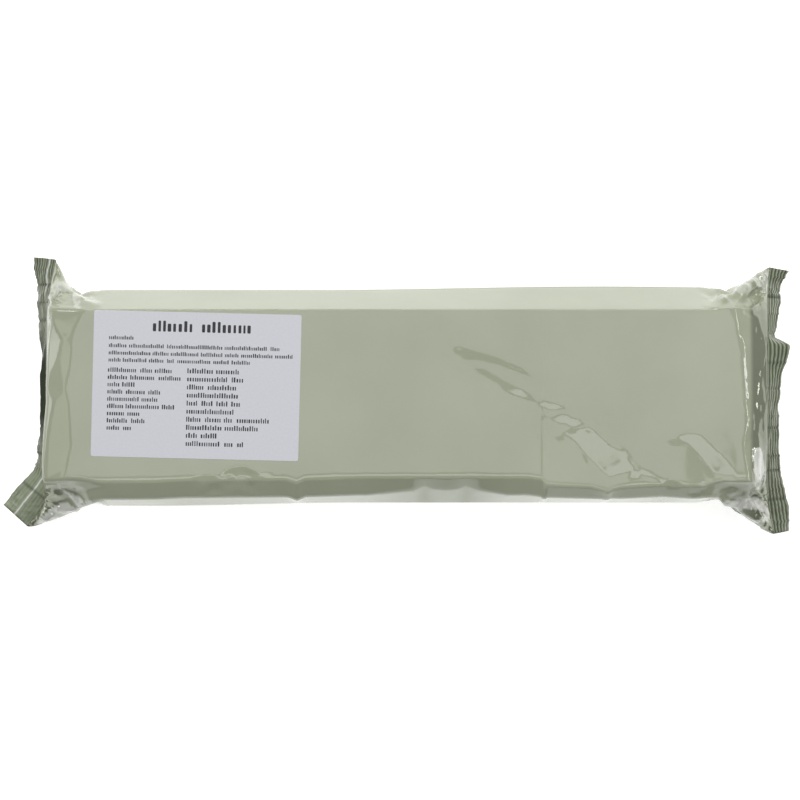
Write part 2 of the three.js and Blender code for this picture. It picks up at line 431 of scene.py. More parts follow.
def ribShare(fin):
    # how much of the crimp is left at each place along the film
    return 1 - 0.8 * smoothStep(fin["plainFrom"], fin["plainFrom"] + 0.1, alongFin)


def finRings(fin):
    # rings of both layers, from the root to the cut edge
    keys, *values = (np.array(column, float) for column in zip(*fin["rulings"]))
    turn, lean = np.radians(values[3]), np.radians(values[4])
    flat = np.cos(lean)
    heading = np.stack([fin["side"] * flat * np.cos(turn), flat * np.sin(turn), np.sin(lean)], 1)
    root = hermite(keys, np.stack(values[:3], 1), alongFin)
    heading = unit(np.stack([np.interp(alongFin, keys, heading[:, i]) for i in range(3)], 1))
    tangent = np.gradient(root + heading * fin["width"] / 2, axis=0)
    normal = unit(np.cross(tangent, heading)) * fin["side"]
    share = ribShare(fin)
    teeth = np.abs(facetNoise(alongFin * 26, alongFin * 3, fin["side"]))
    cutEdge = fin["width"] - fin["tooth"] * teeth * share
    crossFolds = sum(height * bump(alongFin - at, foldReach) for at, height in fin["folds"])
    rings = []
    for t in np.arange(fin["rows"] + 1) / fin["rows"]:
        place = t * fin["width"]
        sway = fin["sway"] * facetNoise(alongFin * 17, place / 11 + alongFin * 0, 3 + fin["side"])
        uneven = 0.7 + 0.9 * facetNoise(alongFin * 24, place / 4, 5)
        relief = ribAt(fin, place) * fin["ribHeight"] * uneven * share
        relief = relief + smoothStep(0, 0.35, t) * (sway + crossFolds)
        middle = root + heading * (cutEdge * t)[:, None] + normal * relief[:, None]
        rings.append(np.concatenate([middle + normal * finGap / 2, (middle - normal * finGap / 2)[::-1]]))
    return np.array(rings)


# soft film at the slab's ends

# distances out from the middle: the slab's end, where the film is tight and held, and how far the panel
# reaches past the end; then the least length of film over the panel's middle, on top and underneath
leftEnd = dict(
    side=-1, slabEnd=166.0, start=121.0, panel=42.0, around=(40, 42), slack=0.05, step=1.25, seed=11,
    suction=0.006, overhang=0,
    # creases of the film over the slab's end, from the far side to the near one: distance out, y, height
    creases=[
        [(157, 48, 62), (159.4, 41.6, 62), (164, 32, 62), (165, 25.4, 62), (166, 12.7, 62),
         (168.3, 2.5, 62), (166.5, -4.1, 62), (165.3, -25.4, 62), (167.8, -37.5, 62), (170.6, -44.6, 62),
         (172, -48, 62)],
        [(172, 48, 60), (174.7, 38.5, 60.3), (173.9, 31.4, 60.6), (169.6, 27.9, 61.5),
         (171.6, 19.8, 60.9), (169.3, 2.5, 61.9), (176.2, 1.5, 59.4), (174.2, -3.5, 60.7),
         (176.7, -16.7, 60.2), (178.1, -28.9, 60), (179.2, -43.1, 59.8), (179.2, -48, 59.8)],
        [(177.8, 48, 56.2), (177.4, 42.8, 58), (176, 36.7, 59.3), (177.4, 27.5, 56.2),
         (178.2, 21.4, 56.2), (178.6, 5.1, 58), (178.6, -3.6, 57.5), (179.8, -16.8, 57.9),
         (180.5, -28.3, 58.2), (180.6, -35.7, 58.9), (180.2, -43.4, 59), (180.2, -48, 59)],
    ],
    # facet sizes along and across the film, height on the end panel and on the ears
    crumples=[(11, 15, 0.5, 1.6), (6, 5, 0.1, 0.8), (2.8, 3.4, 0.1, 0.3)],
    # folded flaps, raised and painted paler as if lit through from the floor, as outlines of distance out
    # and y
    flaps=[
        [(186.5, -65.8), (181.5, -60.8), (176.2, -57), (170, -54.6), (166.5, -57), (162.8, -58.5),
         (158.6, -54), (155, -53.5), (158, -62), (167, -67), (176, -71), (186, -71)],
        [(173.3, -46.7), (167.7, -49.2), (160, -53.3), (162.8, -58.5), (165.9, -54), (170, -49.2)],
        [(179.2, 55.4), (176.3, 59.5), (172.2, 58.3), (164.3, 53.4), (168.4, 52.5), (173.4, 52.9),
         (176.7, 49.2), (179.2, 45.9), (180, 50.1)],
        [(166.8, 52.5), (161.4, 51.7), (161, 43.5), (163.5, 44.3), (165.6, 48.4)],
    ],
    flapRise=0.7, tuck=dict(at=169, reach=11, depth=4.5),  # the far ear's outline is drawn in here
)
rightEnd = dict(
    side=1, slabEnd=171.0, start=125.0, panel=38.5, around=(22.5, 58), slack=0.04, step=1.25, seed=23,
    suction=0.010, overhang=1,
    # the slab's edge, a narrow ridge beside it, the two sides of the middle ridge, and the fin's root
    creases=[
        [(168.6, 48, 62), (168.8, 44.1, 62), (171, 38, 62), (172.8, 28.4, 62), (174.5, 17.7, 62),
         (175.6, 5.1, 62), (176.8, -13, 62), (175.5, -24.6, 62), (176.7, -36.8, 62), (178, -46, 62),
         (178, -50, 62)],
        [(170.6, 48, 61.3), (170.8, 44.1, 61.3), (173.2, 38, 61.2), (175, 28.4, 61.2),
         (176.8, 17.7, 61.2), (177.9, 5.1, 61.2), (179, -13, 61.2), (177.4, -24.6, 61),
         (178.6, -36.8, 61), (179.8, -46, 61), (179.8, -50, 61)],
        [(178.9, 48, 55), (178.9, 43.1, 55.8), (179.1, 40.7, 55.6), (181.7, 39.4, 54.9),
         (184.3, 29.9, 55.1), (186, 22.5, 55), (183.4, 13.1, 57), (181.4, -5.1, 59.4),
         (181.6, -18.9, 58.6), (182.2, -30, 58.6), (182.4, -40.3, 57.2), (183.7, -50, 54.5)],
        [(180.9, 48, 54.2), (180.9, 43.1, 55.1), (181.1, 40.7, 54.9), (183.6, 39.4, 54.2),
         (186, 29.9, 54.4), (187.3, 22.5, 54.5), (185.3, 13.1, 56.3), (183.3, -5.1, 58.7),
         (183.5, -18.9, 57.6), (183.8, -30, 57.4), (184, -40.3, 56), (185, -50, 53.4)],
        [(190.2, 50, 40.5), (189, 38, 48.6), (188.5, 29.6, 52.2), (188.4, 20, 53.4), (188.4, 11.5, 54.2),
         (188.4, -4.5, 54.2), (188.7, -20, 51.6), (189, -27, 49.6), (189.4, -36, 45.8),
         (189.9, -43.5, 41.8), (190.8, -50, 38.6)],
    ],
    crumples=[(9, 14, 0.6, 1.6), (6, 5, 0.2, 0.8), (2.8, 3.6, 0.16, 0.35)],
    flaps=[
        [(160.4, -55.3), (171.2, -53.8), (184.5, -52.2), (187.6, -54.9), (193.3, -61), (192.1, -64.8),
         (184.9, -65.2), (190.2, -61), (182.6, -58.3), (175.8, -58.7), (171.2, -60.7), (166.6, -59.6)],
        [(181.8, 59.8), (187.1, 63.6), (192.5, 64.7), (191.4, 52.5), (185.6, 54.8), (182.6, 58.6)],
        [(172.7, 55.2), (181.8, 59.4), (181.1, 55.6), (175, 51), (172.7, 53.3)],
        [(180.4, -27.5), (184.5, -26.5), (186.6, -33.1), (188.1, -40.7), (185.5, -47.3), (183, -48.9),
         (180.4, -38.2)],
    ],
    flapRise=0.7, tuck=None,
)
softness = dict(
    damping=0.90, stretch=0.95, squeeze=0.35, noise=0.3, slabRound=1.6, bendReach=0.92, bendDrop=0.13,
    coarse=3,  # every third row and column settles first
    coarseSteps=(120, 8, 0.10), fineSteps=(22, 5, 0.05),  # rounds, passes in each, and stiffness in bending
)


def betweenLines(first, second):
    # triangles between two creases
    i, j, triangles = 0, 0, []
    while i < len(first) - 1 or j < len(second) - 1:
        if j == len(second) - 1 or (i < len(first) - 1 and first[i + 1][1] > second[j + 1][1]):
            triangles.append((first[i], first[i + 1], second[j]))
            i += 1
        else:
            triangles.append((first[i], second[j], second[j + 1]))
            j += 1
    return triangles


capGrid = dict(low=(150, -50), high=(193.75, 49.75), step=0.25, inset=8)  # its outermost steps are left out


def makeCap(end):
    # height map of the creased film over the slab's end
    x, y, gridX, gridY = mapGrid(capGrid)
    heights = np.full(gridX.shape, np.nan)
    lines = end["creases"]
    for first, second in zip(lines[:-1], lines[1:]):
        for (ax, ay, az), (bx, by, bz), (cx, cy, cz) in betweenLines(first, second):
            area = (bx - ax) * (cy - ay) - (cx - ax) * (by - ay) + 1e-12
            shareB = ((gridX - ax) * (cy - ay) - (cx - ax) * (gridY - ay)) / area
            shareC = ((bx - ax) * (gridY - ay) - (gridX - ax) * (by - ay)) / area
            inside = (shareB >= -1e-6) & (shareC >= -1e-6) & (shareB + shareC <= 1 + 1e-6)
            heights[inside] = (az + shareB * (bz - az) + shareC * (cz - az))[inside]
    heights[0] = slabHeight
    for k in range(1, len(x)):
        heights[k] = np.where(np.isnan(heights[k]), heights[k - 1], heights[k])
    return heights


def creaseAt(line, y):
    # how far out a crease runs at y
    return np.interp(-y, [-point[1] for point in line], [point[0] for point in line])


def endFaceAt(end, y):
    # the slab ends under the last crease, or under the first where the film hangs over
    return creaseAt(end["creases"][0 if end["overhang"] else -1], y)


def keepOff(points, end):
    # pushes points out of the rounded slab, in the end's own direction
    s = section
    rise = midHeight
    run = s["farFlank"]["half"] - s["topHalfWidth"]
    slope = np.array([rise, run]) / math.hypot(rise, run)
    soft = softness["slabRound"]
    x, y, z = points[..., 0], points[..., 1], points[..., 2]
    cap = readMap(capGrid, end["cap"], x, y, capGrid["inset"])
    face = np.maximum(x - endFaceAt(end, y) + soft, 0)
    push = face[..., None] * np.array([1.0, 0, 0])
    push += np.maximum(z - cap + soft, 0)[..., None] * np.array([0, 0, 1.0])
    push += np.maximum(soft - z, 0)[..., None] * np.array([0, 0, -1.0])
    for sign in (1, -1):
        for up in (1, -1):
            height = z if up > 0 else slabHeight - z
            away = (sign * y - s["topHalfWidth"]) * slope[0] + (height - slabHeight) * slope[1]
            push += np.maximum(away + soft, 0)[..., None] * np.array([0, sign * slope[0], up * slope[1]])
    length = np.linalg.norm(push, axis=-1)
    depth = np.where(length > 1e-6, np.minimum(length - soft, 0), 0)
    points -= unit(push) * depth[..., None]
    if end["overhang"]:
        half = points.shape[1] // 2
        upperX, upperY, upperZ = x[:, :half], y[:, :half], z[:, :half]
        inside = (np.abs(upperY) < 44) & (upperX > 160) & (upperX < creaseAt(end["creases"][-1], upperY))
        upperZ[:] = np.where(inside, np.maximum(upperZ, cap[:, :half]), upperZ)


def lieOnCap(points, end):
    # the settled film takes the cap's own creases
    upper, lower = points[:, :layerCount], points[:, :layerCount - 1:-1]
    x, y, z = upper[..., 0], upper[..., 1], upper[..., 2]
    edge = creaseAt(end["creases"][-1], y)
    inset = 0 if end["overhang"] else 1.4
    on = between(x, 152, 158, edge - inset, edge + 0.01) * (1 - smoothStep(40, 45, np.abs(y)))
    on[-1] = 0
    lie = readMap(capGrid, end["cap"], x, y, capGrid["inset"])
    lie = lie + topRelief(x * end["side"], np.maximum(y, -44)) * smoothStep(0, 2.5, 43 - y)
    z += (lie - z) * on
    lower[..., 2] = np.minimum(lower[..., 2], z - 0.4)


def filmLinks(along, across, bend):
    # what holds the film together: pairs of points, the length between them, and how hard each pair
    # draws together and pushes apart
    rows, cols = across.shape
    row, column = np.arange(rows - 2), np.arange(cols)
    stretch, squeeze = softness["stretch"], softness["squeeze"]
    diagonal = np.sqrt(along ** 2 + across[:-1] ** 2)
    links = []
    for start in (0, 1):
        links.append((np.s_[start:-1:2], np.s_[start + 1::2], along[start::2, :, None], stretch, squeeze))
    for here in (column[::2], column[1::2]):
        links.append((np.s_[:, here], np.s_[:, (here + 1) % cols], across[:, here, None], stretch, squeeze))
    for shift in (1, -1):
        for start in (0, 1):
            pick = np.arange(start, rows - 1, 2)[:, None]
            links.append(((pick, column), (pick + 1, (column + shift) % cols), diagonal[start::2, :, None],
                          stretch * 0.6, squeeze * 0.5))
    for pick in (column[column % 4 < 2], column[column % 4 >= 2]):
        span = (across + np.roll(across, -1, axis=1))[:, pick, None]
        links.append((np.s_[:, pick], np.s_[:, (pick + 2) % cols], span, 0, bend))
    for pick in (row[row % 4 < 2], row[row % 4 >= 2]):
        links.append((pick, pick + 2, (along[pick] + along[pick + 1])[:, :, None], 0, bend))
    return links


def pull(points, free, first, second, rest, stretch, squeeze):
    # moves pairs of points towards their own length
    a, b = points[first], points[second]
    freeA, freeB = free[first], free[second]
    gap = b - a
    length = np.sqrt((gap * gap).sum(-1, keepdims=True)) + 1e-9
    error = length - rest
    amount = np.where(error > 0, stretch, squeeze) * error / (length * (freeA + freeB + 1e-9))
    points[first] = a + gap * amount * freeA
    points[second] = b - gap * amount * freeB


def outwardOf(rings):
    # the film's outward direction at each point
    return unit(np.cross(np.roll(rings, -1, axis=1) - np.roll(rings, 1, axis=1), np.gradient(rings, axis=0)))


def relax(points, free, along, across, end, rounds, passes, bend):
    # film that can hardly stretch settles round the slab's end between its two held rows
    half = points.shape[1] // 2
    before = points.copy()
    links = filmLinks(along, across, bend)
    for turn in range(rounds):
        speed = (points - before) * softness["damping"]
        before = points.copy()
        points += (speed - outwardOf(points) * end["suction"]) * free
        for k in range(passes):
            for link in links:
                pull(points, free, *link)
            held = points.copy()
            keepOff(points, end)
            points[..., 2] = np.maximum(points[..., 2], section["floorGap"])
            upper, lower = points[:, :half], points[:, :half - 1:-1]
            lap = np.maximum(0.5 - (upper[..., 2] - lower[..., 2]), 0) / 2
            upper[..., 2] += lap
            lower[..., 2] -= lap
            points[:] = np.where(free > 0, points, held)
    return points


def settle(points, free, along, across, end):
    # large folds on every third row and column first, then the fine ones
    s = softness
    n = s["coarse"]
    rows, cols = points.shape[:2]
    rng = np.random.default_rng(end["seed"])
    pickRows, pickCols = np.arange(0, rows, n), np.arange(1, cols, n)
    rough = points[pickRows][:, pickCols].copy()
    roughFree = free[pickRows][:, pickCols]
    roughAlong = along[:, pickCols].reshape(len(pickRows) - 1, n, len(pickCols)).sum(axis=1)
    roughAcross = np.roll(across, -1, axis=1).reshape(rows, len(pickCols), n).sum(axis=2)[pickRows]
    start = rough.copy()
    rough += rng.normal(0, s["noise"], rough.shape) * roughFree
    moved = relax(rough, roughFree, roughAlong, roughAcross, end, *s["coarseSteps"]) - start
    r = np.arange(rows) / n
    c = ((np.arange(cols) - 1) / n) % len(pickCols)
    r0, c0 = np.minimum(r.astype(int), len(pickRows) - 2), c.astype(int)
    c1 = (c0 + 1) % len(pickCols)
    fr, fc = (r - r0)[:, None, None], (c - c0)[None, :, None]
    top = moved[r0][:, c0] * (1 - fc) + moved[r0][:, c1] * fc
    bottom = moved[r0 + 1][:, c0] * (1 - fc) + moved[r0 + 1][:, c1] * fc
    points = points + (top * (1 - fr) + bottom * fr) * (free > 0)
    return relax(points, free, along, across, end, *s["fineSteps"])


def crumple(points, free, along, across, end):
    # presses sharp small facets into the loose film: both layers together where they lie close
    upper, lower = points[:, :layerCount], points[:, :layerCount - 1:-1]
    u = np.concatenate([np.zeros((1, layerCount)), np.cumsum(along[:, :layerCount], axis=0)])
    v = np.concatenate([[0], np.cumsum(across[0, :layerCount])[:-1]])[None, :] * np.ones((len(points), 1))
    normal = outwardOf(points)
    upperNormal, lowerNormal = normal[:, :layerCount], normal[:, :layerCount - 1:-1]
    together = unit(upperNormal - lowerNormal + np.array([0, 0, -0.2]))
    room = np.linalg.norm(upper - lower, axis=2)
    close = (1 - smoothStep(4, 16, room))[..., None]
    ear = smoothStep(42, 50, np.abs(upper[..., 1]))
    pastFace = smoothStep(-1, 3, upper[..., 0] - endFaceAt(end, upper[..., 1]))
    loose = smoothStep(0.3, 1, free[:, :layerCount, 0]) * np.maximum(pastFace * 0.6, ear)
    heights = []
    for shift in (0, 3):
        height = np.zeros(room.shape)
        for k, (sizeU, sizeV, onPanel, onEar) in enumerate(end["crumples"]):
            facets = facetNoise(u / sizeU, v / sizeV, 7 + k + shift + end["side"])
            height += facets * (onPanel * (1 - ear) + onEar * ear)
        heights.append(height * smoothStep(0, 5, u[-1] - u))
    shared = (heights[0] * loose)[..., None]
    limit = 0.25 * room
    for layer, layerNormal, height in ((upper, upperNormal, heights[0]), (lower, lowerNormal, heights[1])):
        own = (np.clip(height, -limit, limit) * loose)[..., None]
        layer += together * shared * close * -1 + layerNormal * own * (1 - close)
    tuck = end["tuck"]
    if tuck:
        drawn = bump(points[..., 0] - tuck["at"], tuck["reach"]) * smoothStep(46, 58, points[..., 1])
        points[..., 1] -= tuck["depth"] * drawn
    for outline in end["flaps"]:
        upper[..., 2] += end["flapRise"] * insidePolygon(upper[..., 0], upper[..., 1], outline) * loose


def looseness(points, end):
    # nought where the film lies tight on the slab, one where it hangs free
    out = points[..., 0] * end["side"]
    nearest = np.abs(points[..., 1]) - section["topHalfWidth"]
    face = smoothStep(end["slabEnd"] - 9, end["slabEnd"] - 4, out)
    flank = smoothStep(end["slabEnd"] - 18, end["slabEnd"] - 4, out) * smoothStep(-0.5, 3.5, nearest)
    free = np.maximum(face, flank)
    free[free < 0.05] = 0
    return free[..., None]


def endRows(end, rootRing):
    # rings from the slab's tight film out to the fin's root
    side = end["side"]
    tight = end["slabEnd"] - end["start"]
    length = tight + end["panel"]
    count = int(round(length / end["step"] / softness["coarse"])) * softness["coarse"]
    points = []
    for k in range(count + 1):
        run = length * k / count
        onSlab = min(run, tight)
        ring = ringAt(side * (end["start"] + onSlab))
        t = (run - onSlab) / end["panel"]
        if t > 0:
            bend = ring + (rootRing - ring) * (softness["bendReach"], 0, softness["bendDrop"])
            ring = (1 - t) ** 2 * ring + 2 * t * (1 - t) * bend + t * t * rootRing
        points.append(ring)
    points = np.array(points)
    free = looseness(points, end)
    free[-1] = 0
    # lengths of the film along and across, which the settling keeps
    lastTight = int(tight / length * count)
    straight = np.linalg.norm(rootRing - points[lastTight], axis=1) * (1 + end["slack"])
    middle = 1 - smoothStep(0.24, 0.38, np.abs(alongFin - 0.5))
    overTop, underneath = end["around"]
    panel = np.maximum(straight, np.concatenate([overTop * middle, underneath * middle[::-1]]))
    along = np.where(np.arange(count)[:, None] < lastTight, length / count, panel / (count - lastTight))
    first, last = (np.linalg.norm(np.roll(points[k], -1, axis=0) - points[k], axis=1) for k in (0, -1))
    blend = (np.clip((np.arange(count + 1) - lastTight) / (count - lastTight), 0, 1) ** 1.2)[:, None]
    across = first * (1 - blend) + last * blend
    points[..., 0] *= side
    end["cap"] = makeCap(end)
    points = settle(points, free, along, across, end)
    lieOnCap(points, end)
    crumple(points, free, along, across, end)
    points[..., 0] *= side
    return points


# film: one closed tube from cut edge to cut edge

bodyRows = [(-121, 1.1), (-80, 2.2), (-20, 1.5), (62, 0.9), (125, 0.9)]  # from this x on, this far apart
underside = dict(rowStep=6, columnStep=5)  # the flat back needs only large faces


def bodyPlaces():
    places = []
    for (start, step), (stop, _) in zip(bodyRows[:-1], bodyRows[1:]):
        count = max(int(round((stop - start) / step)), 1)
        places += [start + (stop - start) * k / count for k in range(count)]
    return places[1:]


def stopsBetween(first, last, step):
    # every so many places, and the last one, with no short rest before it
    stops = list(range(first, last, step))
    if last - stops[-1] < step / 2:
        stops.pop()
    return stops + [last]


def skinFaces(count, size, bodyFirst, bodyLast):
    # quads all over the tube, but large faces with many corners along the back of the body
    faces = []
    for r in range(count - 1):
        onBody = bodyFirst <= r < bodyLast
        for i in range(layerCount if onBody else size):
            j = (i + 1) % size
            faces.append((r * size + i, r * size + j, (r + 1) * size + j, (r + 1) * size + i))
        if onBody:
            faces.append((r * size + size - 1, r * size, (r + 1) * size, (r + 1) * size + size - 1))
    rowStops = stopsBetween(bodyFirst, bodyLast, underside["rowStep"])
    columnStops = stopsBetween(layerCount, size - 1, underside["columnStep"])
    for r0, r1 in zip(rowStops[:-1], rowStops[1:]):
        for c0, c1 in zip(columnStops[:-1], columnStops[1:]):
            face = list(range(c0, c1)) if r0 == bodyFirst else [c0]
            loop = [r0 * size + c for c in face]
            loop += [r * size + c1 for r in (range(r0, r1) if c1 == size - 1 else [r0])]
            loop += [r1 * size + c for c in (range(c1, c0, -1) if r1 == bodyLast else [c1])]
            loop += [r * size + c0 for r in (range(r1, r0, -1) if c0 == layerCount else [r1])]
            faces.append(tuple(loop))
    return faces


def filmPaint(rings):
    # how strongly each look shows at each point of the film
    x, y = rings[..., 0], rings[..., 1]
    far, aside = np.abs(x), np.abs(y)
    rib, gapLine, pale = np.zeros((3, *x.shape))
    # painted shade on the left fin's middle, under the rim's overhang, and along the dark cross folds of
    # both fins
    crimpShade = smoothStep(181.5, 183, -x) * (1 - smoothStep(14, 38, np.abs(y - 3)))
    for fin, root in ((leftFin, leftFin["rows"]), (rightFin, len(rings) - 1 - rightFin["rows"])):
        share = ribShare(fin)
        folds = [strength * bump(alongFin - at, reach) for at, reach, strength in fin["darkFolds"]]
        foldShade = both(sum(folds))
        for k in range(1, fin["rows"] + 1):
            row = root + fin["side"] * k
            place = k / fin["rows"] * fin["width"]
            # rib also sets the crimp's painted shade and light, going light where the crimp fades out
            rib[row] = both(0.5 + 0.5 * ribAt(fin, place) * share + 0.5 * (1 - share))
            crimpShade[row] = np.maximum(crimpShade[row], foldShade)
            # painted highlight along the plain line between the crimped bands
            if fin["gapWidth"]:
                line = bump(place - gapPlace(fin), fin["gapWidth"] * 0.8)
                gapLine[row] = both(line * smoothStep(0.30, 0.36, np.abs(alongFin - 0.47)))
    # most crinkled on the loose ears; painted shade darkens the film where only air is behind it, over the
    # right end panel and on the near ears
    loose = np.where(x > 0, smoothStep(176, 186, far), smoothStep(166, 180, far))
    crinkle = smoothStep(44, 52, aside) * loose
    overRight = smoothStep(178, 181, x) * (1 - smoothStep(42, 50, aside))
    nearEars = smoothStep(44, 50, -y) * smoothStep(166, 176, far)
    # painted light: the folded flaps are painted paler, as if lit through from the floor, more on the near
    # side
    for end in (leftEnd, rightEnd):
        for outline in end["flaps"]:
            pale[:, :layerCount] += insidePolygon(x * end["side"], y, outline)[:, :layerCount]
    pale *= np.where(y > 0, 0.45, 0.85)
    foil = np.maximum(crinkle * np.where(y > 0, 0.25, 0.5), overRight * 0.25) * (1 - pale)
    return dict(rib=rib, gapLine=gapLine, crinkle=np.maximum(crinkle, 0.7 * pale), foil=foil, crimpShade=crimpShade,
                shade=np.maximum(overRight * 0.7, nearEars * 0.6), pale=np.minimum(pale, 1))


def makeFilm():
    leftRings, rightRings = finRings(leftFin), finRings(rightFin)
    leftRows = endRows(leftEnd, leftRings[0])
    print("left end settled")
    rightRows = endRows(rightEnd, rightRings[0])
    print("right end settled")
    body = [ringAt(x) for x in bodyPlaces()]
    rings = np.concatenate([leftRings[:0:-1], leftRows[::-1], body, rightRows, rightRings[1:]])
    count, size = rings.shape[:2]
    bodyFirst = leftFin["rows"] + len(leftRows) - 1
    faces = skinFaces(count, size, bodyFirst, bodyFirst + len(body) + 1)
    last = (count - 1) * size
    for k in range(layerCount - 1):
        faces.append((k, size - 1 - k, size - 2 - k, k + 1))
        faces.append((last + k, last + k + 1, last + size - 2 - k, last + size - 1 - k))
    film = makePiece("film", rings.reshape(-1, 3), faces, [filmFinish(), crimpFinish()])
    mesh = film.data
    print("film faces", len(mesh.polygons), "triangles", sum(len(face) - 2 for face in faces))
    for name, values in filmPaint(rings).items():
        attribute = mesh.attributes.new(name, "FLOAT", "POINT")
        attribute.data.foreach_set("value", values.ravel().astype(np.float32))
    leftRoot, rightRoot = leftFin["rows"] * size, last - rightFin["rows"] * size
    mesh.polygons.foreach_set("material_index", [int(not leftRoot <= face[0] < rightRoot) for face in faces])
    return film, rings[leftFin["rows"]:count - rightFin["rows"]]


def closedSheet(name, top, bottom, finish, smooth=True):
    # two grids of points and the rim between their edges, all facing out
    rows, columns = top.shape[:2]
    lastRow, lastColumn, count = rows - 1, columns - 1, rows * columns
    faces = []
    for i in range(lastRow):
        for j in range(lastColumn):
            a, b = i * columns + j, (i + 1) * columns + j
            faces += [(a, b, b + 1, a + 1), (a + count, a + 1 + count, b + 1 + count, b + count)]
    rim = [i * columns for i in range(lastRow)] + [lastRow * columns + j for j in range(lastColumn)]
    rim += [i * columns + lastColumn for i in range(lastRow, 0, -1)] + list(range(lastColumn, 0, -1))
    faces += [(a, a + count, b + count, b) for a, b in zip(rim, rim[1:] + rim[:1])]
    points = np.concatenate([top.reshape(-1, 3), bottom.reshape(-1, 3)])
    return makePiece(name, points, faces, [finish], smooth)


# back seam: the film's two long edges, crimped together and folded flat

backSeam = dict(
    width=12.0, offset=4.0, lift=0.10, thickness=0.28, floorGap=0.02,
    ribPitch=1.6, ribHeight=0.05, steps=40, skip=3,  # a row for every third one of the film's
)


def makeSeam(rings):
    # follows the film's lower layer, just outside it
    b = backSeam
    rows = rings[::b["skip"], layerCount:]
    across = b["offset"] + b["width"] * (np.linspace(0, 1, b["steps"] + 1) - 0.5)
    sheet = np.zeros((len(rows), len(across), 3))
    for k, row in enumerate(rows):
        order = np.argsort(row[:, 1])
        for i in (0, 2):
            sheet[k, :, i] = np.interp(across, row[order, 1], row[order, i])
        sheet[k, :, 1] = across
    normal = unit(np.cross(np.gradient(sheet, axis=1), np.gradient(sheet, axis=0)))
    normal *= np.where(normal[..., 2:] > 0, -1, 1)
    ribs = b["ribHeight"] * np.sin(2 * math.pi * across / b["ribPitch"])
    inner = sheet + normal * b["lift"]
    outer = sheet + normal * (b["lift"] + b["thickness"] + ribs)[None, :, None]
    outer[..., 2] = np.maximum(outer[..., 2], b["floorGap"])
    return closedSheet("backSeam", inner, outer, filmFinish())


# paper label and its print

label = dict(
    length=105.0, width=74.0, turn=-1.4, corner=0.7, thickness=0.10, lift=0.04, steps=(70, 50),
)
labelCentre = ((labelLow.x + labelHigh.x) / 2 / mm, (labelLow.y + labelHigh.y) / 2 / mm)


def onLabel(u, v, height):
    # a point of the label's own plane, laid on the film
    turn = math.radians(label["turn"])
    x = labelCentre[0] + u * math.cos(turn) - v * math.sin(turn)
    y = labelCentre[1] + u * math.sin(turn) + v * math.cos(turn)
    return np.stack([x, y, slabHeight + topRelief(x, y) + height], axis=-1)


def makeLabel():
    # a closed sheet with its corners rounded off
    across, down = label["steps"]
    u = np.linspace(-0.5, 0.5, across + 1) * label["length"]
    v = np.linspace(-0.5, 0.5, down + 1) * label["width"]
    gridU, gridV = np.meshgrid(u, v, indexing="ij")
    corner = label["corner"]
    overU = np.maximum(np.abs(gridU) - label["length"] / 2 + corner, 0)
    overV = np.maximum(np.abs(gridV) - label["width"] / 2 + corner, 0)
    reach = np.hypot(overU, overV)
    pullIn = np.where(reach > corner, 1 - corner / np.maximum(reach, 1e-6), 0)
    gridU = gridU - np.sign(gridU) * overU * pullIn
    gridV = gridV - np.sign(gridV) * overV * pullIn
    top = onLabel(gridU, gridV, label["lift"] + label["thickness"])
    bottom = onLabel(gridU, gridV, label["lift"])
    return closedSheet("paperLabel", top, bottom, paperFinish(), smooth=False)


labelPrint = dict(
    height=0.035, sink=0.02,  # over and into the paper
    # a heading, then lines of words: left end and base line from the label's middle, word lengths, in mm
    heading=dict(left=-22.6, line=26.9, size=4.1, words=[21.6, 26.4]),
    small=[
        (-44.6, 22.4, [12.6]),
        (-44.6, 18.4, [9, 18, 28, 22, 5]),
        (-44.6, 14.7, [21, 8, 14, 11, 7, 16, 9]),
        (-44.6, 11.1, [6, 12, 8, 4, 17, 8, 10]),
    ],
    leftColumn=dict(left=-44.8, top=5.9, pitch=3.66,
                    lines=[[15, 6, 9], [10, 13, 11], [6, 7], [8, 10, 6], [16, 8], [8, 17, 7], [9, 6],
                           [11, 7], [7, 4]]),
    rightColumn=dict(left=-4.6, top=6.1, pitch=4.08,
                     lines=[[13, 12], [21, 6], [9, 15], [26], [6, 6, 6, 5], [24], [8, 8, 5, 17], [18, 17],
                            [6, 9], [18, 5, 4]]),
    smallSize=1.5, columnSize=1.7, rightSize=1.9,
    # shares of the size: between words, a mark's width, the gap after it, its rise when it is tall
    wordGap=0.8, markWidth=(0.26, 0.44), markGap=(0.22, 0.34), tall=1.35, tallShare=0.3, round=0.3,
)


def printMarks():
    # plain marks, not letters: left, base line, width, rise; a word is a run of small uneven ones
    p = labelPrint
    rng = np.random.default_rng(5)
    marks = []

    def addLine(left, line, size, words):
        for length in words:
            at = left
            while at < left + length - size * 0.3:
                width = size * rng.uniform(*p["markWidth"])
                rise = size * (p["tall"] if rng.random() < p["tallShare"] else 1)
                marks.append((at, line, width, rise))
                at += width + size * rng.uniform(*p["markGap"])
            left += length + p["wordGap"] * size

    addLine(**p["heading"])
    for left, line, words in p["small"]:
        addLine(left, line, p["smallSize"], words)
    for column, size in ((p["leftColumn"], p["columnSize"]), (p["rightColumn"], p["rightSize"])):
        for k, words in enumerate(column["lines"]):
            addLine(column["left"], column["top"] - k * column["pitch"], size, words)
    return marks


def markOutline(left, line, width, rise):
    # rectangle with rounded corners, counterclockwise
    radius = min(width, rise) * labelPrint["round"]
    turns = np.radians([90 * corner + step for corner in range(4) for step in (0, 30, 60, 90)])
    sides = np.repeat([(1, 1), (-1, 1), (-1, -1), (1, -1)], 4, axis=0)
    return (left + width / 2 + sides[:, 0] * (width / 2 - radius) + radius * np.cos(turns),
            line + rise / 2 + sides[:, 1] * (rise / 2 - radius) + radius * np.sin(turns))


